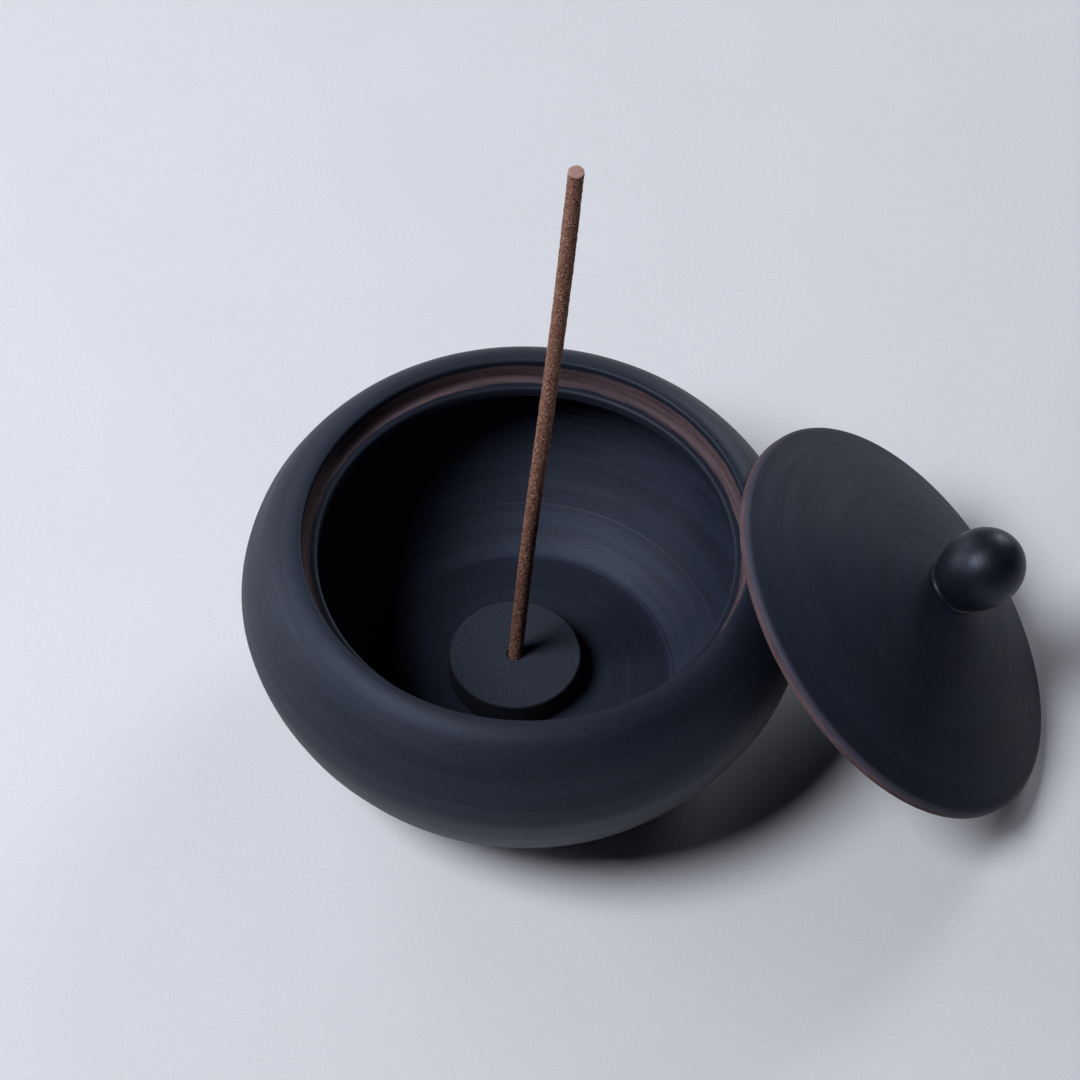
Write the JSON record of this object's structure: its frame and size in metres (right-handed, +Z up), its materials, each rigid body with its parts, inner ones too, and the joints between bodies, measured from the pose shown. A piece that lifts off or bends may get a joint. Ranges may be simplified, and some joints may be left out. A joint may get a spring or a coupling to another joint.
{
  "type": "incense burner",
  "caption": "Squat black stoneware incense bowl with a stepped mouth, a ball-knobbed lid leaning on its shoulder, and a pierced disc inside holding an upright incense stick.",
  "frame": {"origin": "middle of the bowl's flat foot, on the surface that it stands on", "axes": "+Z up along the bowl's own axis; +X towards the lid, which leans on the bowl's shoulder; -Y is the side the lid's slope is seen from in front"},
  "size_m": [0.1448, 0.1, 0.1404],
  "materials": {
    "black_stoneware": "unglazed black stoneware, fine turning lines, dull satin; bare red-brown clay on the lid seat",
    "lid_stoneware": "unglazed black stoneware, fine turning lines, dull satin; bare red-brown clay round the lid's edge",
    "holder_stoneware": "unglazed black stoneware, finely sandy, matte",
    "incense": "pressed incense paste, granular, matte brown"
  },
  "bodies": {
    "bowl": {"bowl": "black_stoneware"},
    "lid": {"lid": "lid_stoneware", "lid_knob": "lid_stoneware"},
    "holder": {"stick_holder": "holder_stoneware"},
    "stick": {"incense_stick": "incense"}
  },
  "joints": [
    {"name": "lid_lift", "type": "slide", "parent": "bowl", "child": "lid", "axis": [0, 0, 1], "range_m": [0, 0.06]},
    {"name": "holder_lift", "type": "slide", "parent": "bowl", "child": "holder", "axis": [0, 0, 1], "range_m": [0, 0.06]},
    {"name": "stick_draw", "type": "slide", "parent": "holder", "child": "stick", "axis": [0.0639, -0.0089, 0.9979], "range_m": [0, 0.05]}
  ]
}
